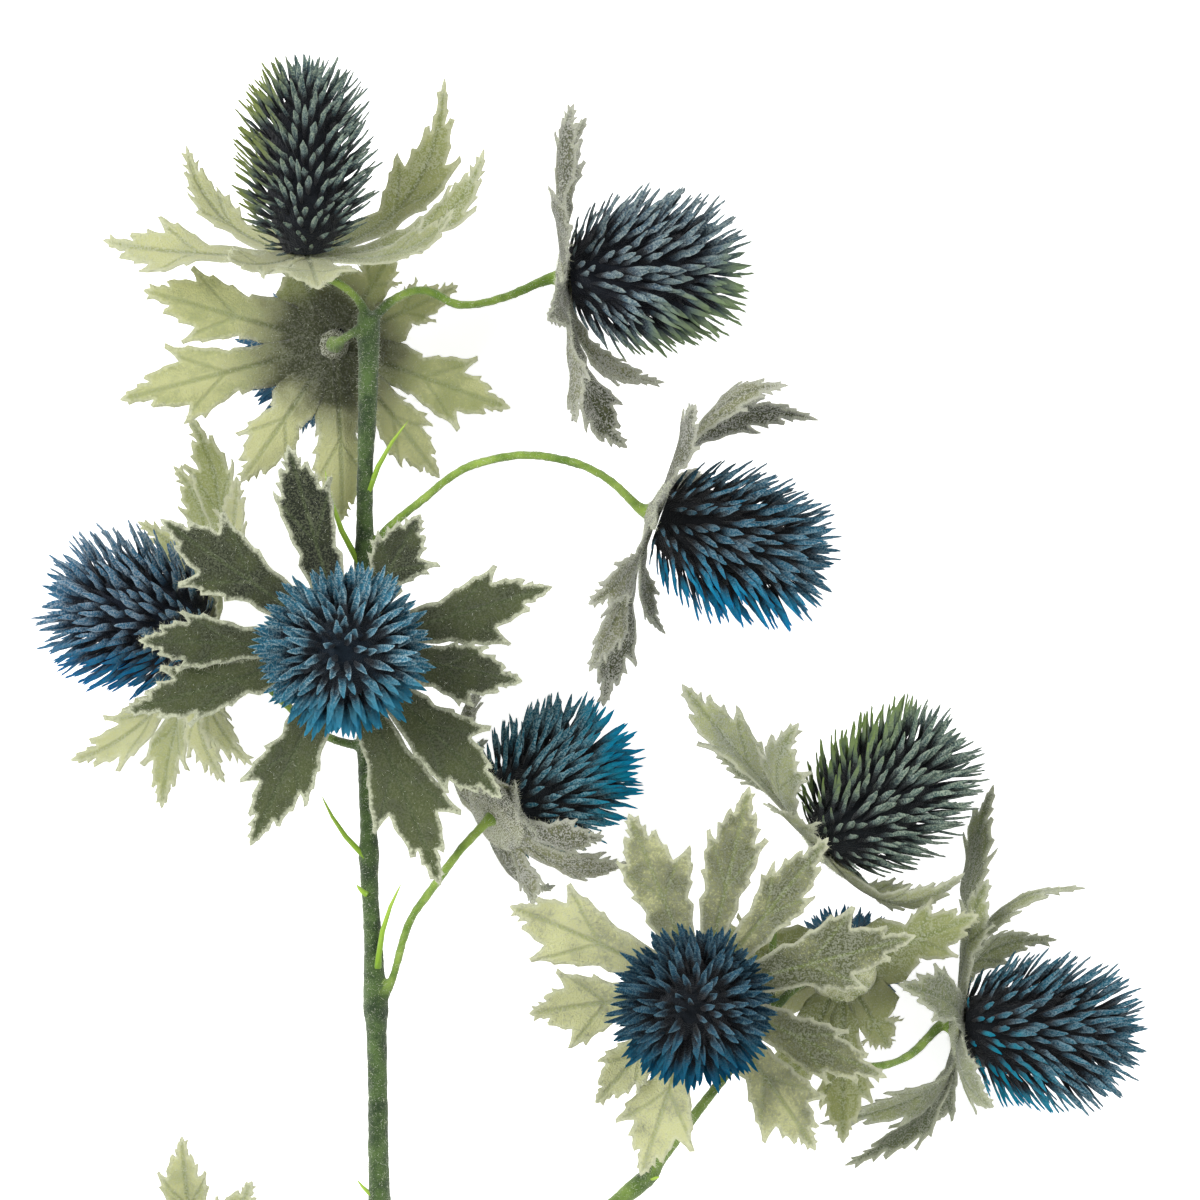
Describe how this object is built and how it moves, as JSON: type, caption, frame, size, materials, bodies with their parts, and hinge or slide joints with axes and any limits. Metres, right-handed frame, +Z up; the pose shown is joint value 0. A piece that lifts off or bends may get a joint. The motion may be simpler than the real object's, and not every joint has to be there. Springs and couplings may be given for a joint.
{
  "type": "sea holly stem",
  "caption": "Cut, branched sea holly stem lying down, with spiky blue heads on whorls of toothed grey-green bracts.",
  "frame": {"origin": "middle of the outline's box at the surface that the stem lies on", "axes": "+Z up from the surface, +Y along the main stem from its cut end to the flowering end, +X towards the side branch"},
  "size_m": [0.2126, 0.3598, 0.0817],
  "materials": {
    "stem_green": "matte, softly flocked",
    "bracts_01": "matte, velvety, pale at the edges",
    "cone_01": "matte, dusted",
    "bracts_02": "matte, velvety, pale at the edges",
    "cone_02": "matte, dusted",
    "bracts_03": "matte, velvety, pale at the edges",
    "cone_03": "matte, dusted",
    "bracts_04": "matte, velvety, pale at the edges",
    "cone_04": "matte, dusted",
    "bracts_05": "matte, velvety, pale at the edges",
    "cone_05": "matte, dusted",
    "bracts_06": "matte, velvety, pale at the edges",
    "cone_06": "matte, dusted",
    "bracts_07": "matte, velvety, pale at the edges",
    "cone_07": "matte, dusted",
    "bracts_08": "matte, velvety, pale at the edges",
    "cone_08": "matte, dusted",
    "bracts_09": "matte, velvety, pale at the edges",
    "cone_09": "matte, dusted",
    "bracts_10": "matte, velvety, pale at the edges",
    "cone_10": "matte, dusted",
    "bracts_11": "matte, velvety, pale at the edges",
    "cone_11": "matte, dusted",
    "bracts_12": "matte, velvety, pale at the edges",
    "cone_12": "matte, dusted"
  },
  "bodies": {
    "root": {"stem": "stem_green", "head_01_bracts": "bracts_01", "head_01_cone": "cone_01", "head_02_bracts": "bracts_02", "head_02_cone": "cone_02", "head_03_bracts": "bracts_03", "head_03_cone": "cone_03", "head_04_bracts": "bracts_04", "head_04_cone": "cone_04", "head_05_bracts": "bracts_05", "head_05_cone": "cone_05", "head_06_bracts": "bracts_06", "head_06_cone": "cone_06", "head_07_bracts": "bracts_07", "head_07_cone": "cone_07", "head_08_bracts": "bracts_08", "head_08_cone": "cone_08", "head_09_bracts": "bracts_09", "head_09_cone": "cone_09", "head_10_bracts": "bracts_10", "head_10_cone": "cone_10", "head_11_bracts": "bracts_11", "head_11_cone": "cone_11", "head_12_bracts": "bracts_12", "head_12_cone": "cone_12"}
  },
  "joints": []
}
